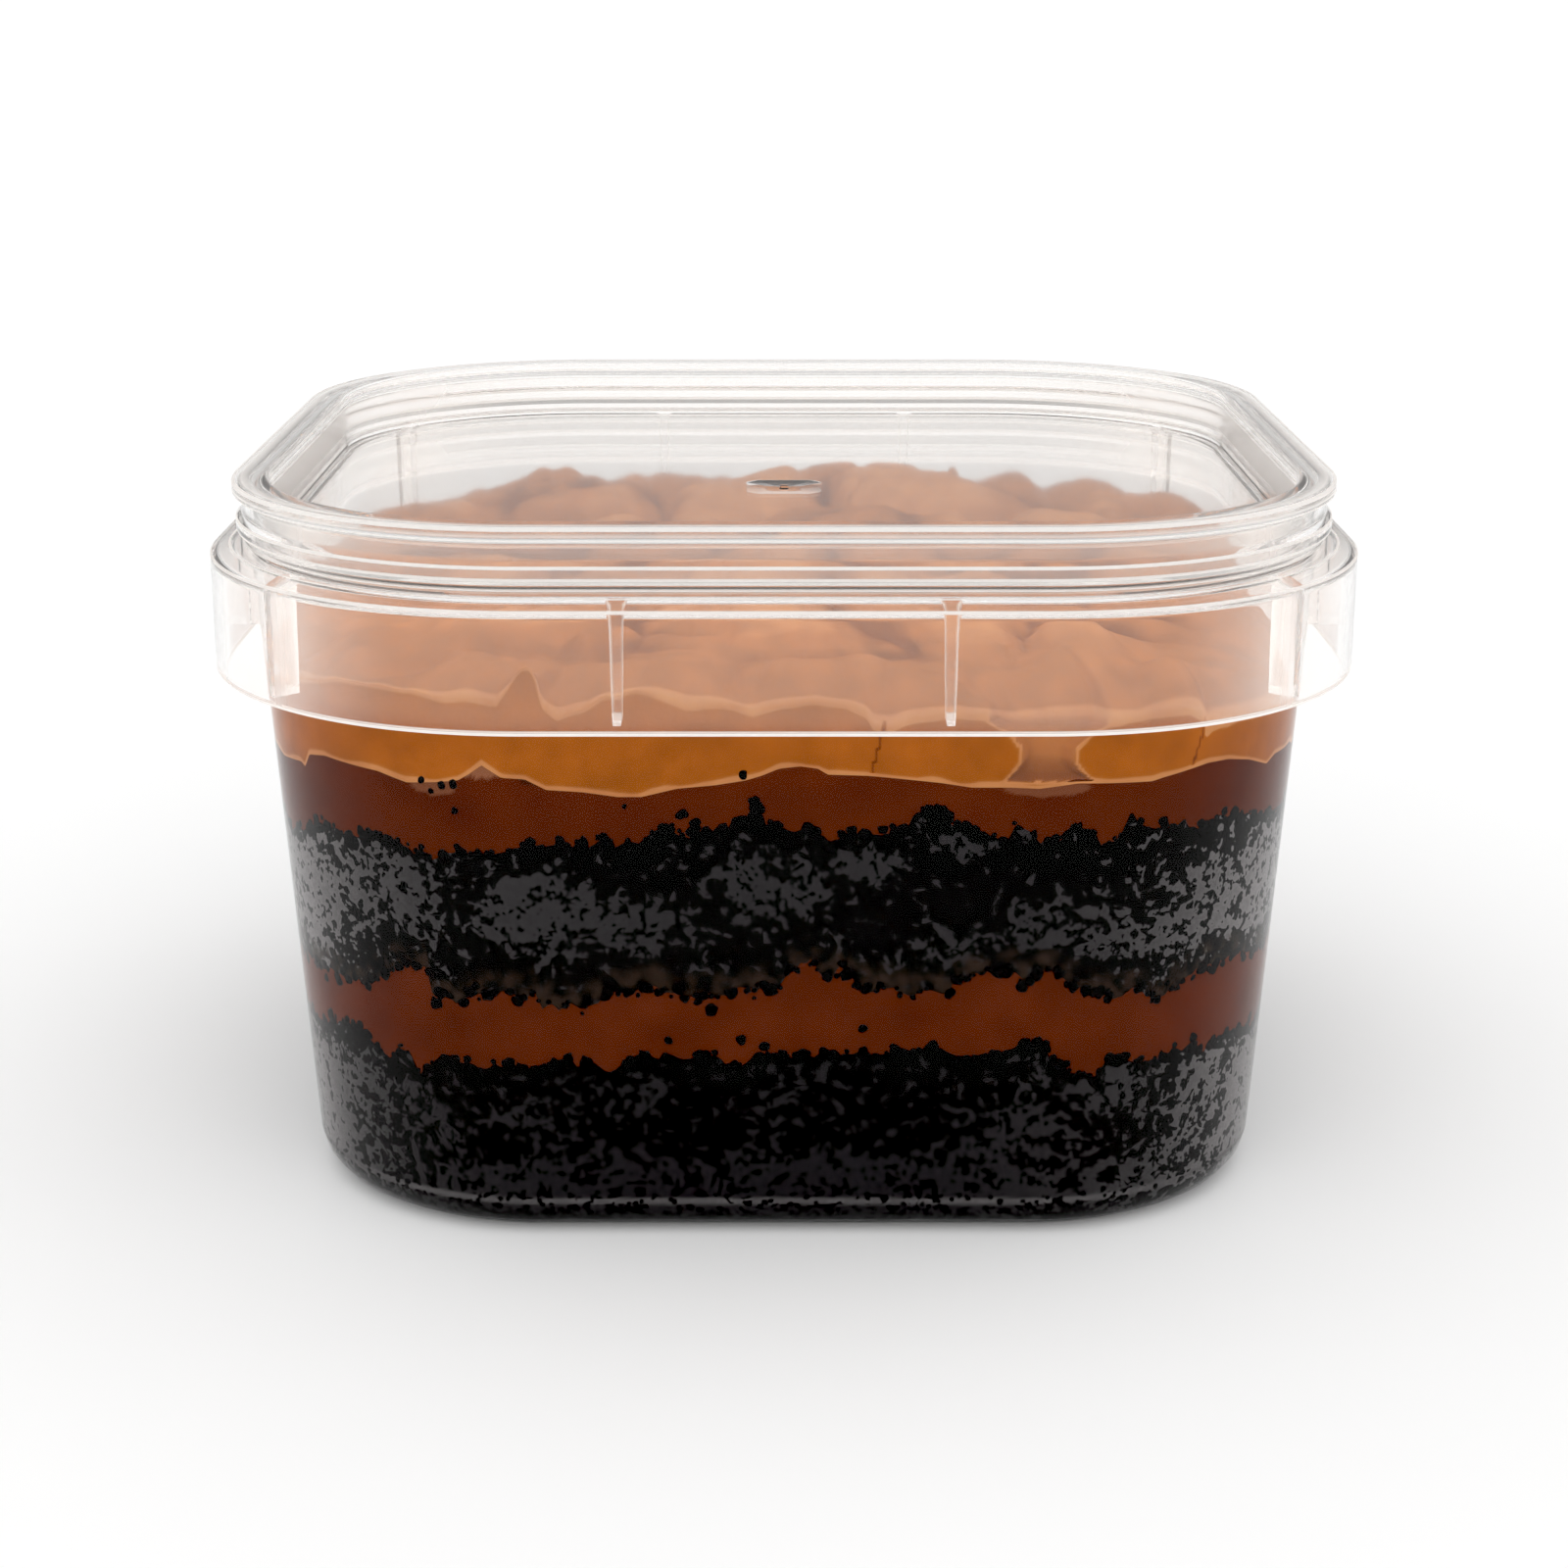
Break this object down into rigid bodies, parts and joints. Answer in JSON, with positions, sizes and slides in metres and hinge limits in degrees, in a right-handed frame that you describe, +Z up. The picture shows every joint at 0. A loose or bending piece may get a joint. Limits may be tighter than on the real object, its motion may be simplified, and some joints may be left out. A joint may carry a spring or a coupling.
{
  "type": "layered chocolate cake in a clear square tub",
  "caption": "Chocolate cake layered with dark cream and whipped cream in a clear square plastic tub, closed by a clear snap lid.",
  "frame": {"origin": "middle of the tub's foot, on the surface it stands on", "axes": "+Z up through the lid, -Y towards the front side, +X to the right seen from the front"},
  "size_m": [0.098, 0.098, 0.0617],
  "materials": {
    "tub_plastic": "clear moulded plastic, smooth, faintly hazy",
    "lid_plastic": "clear moulded plastic, smooth, faintly hazy",
    "dark_cake": "almost black moist chocolate crumb, rough",
    "brown_cream": "reddish brown chocolate cream, soft sheen",
    "dark_cream": "dark chocolate cream, soft sheen",
    "whipped_cream": "light chocolate whipped cream, matt"
  },
  "bodies": {
    "root": {"tub": "tub_plastic", "lid": "lid_plastic", "cake_lower": "dark_cake", "cream_lower": "brown_cream", "cake_upper": "dark_cake", "cream_dark": "dark_cream", "cream_whipped": "whipped_cream"}
  },
  "joints": []
}
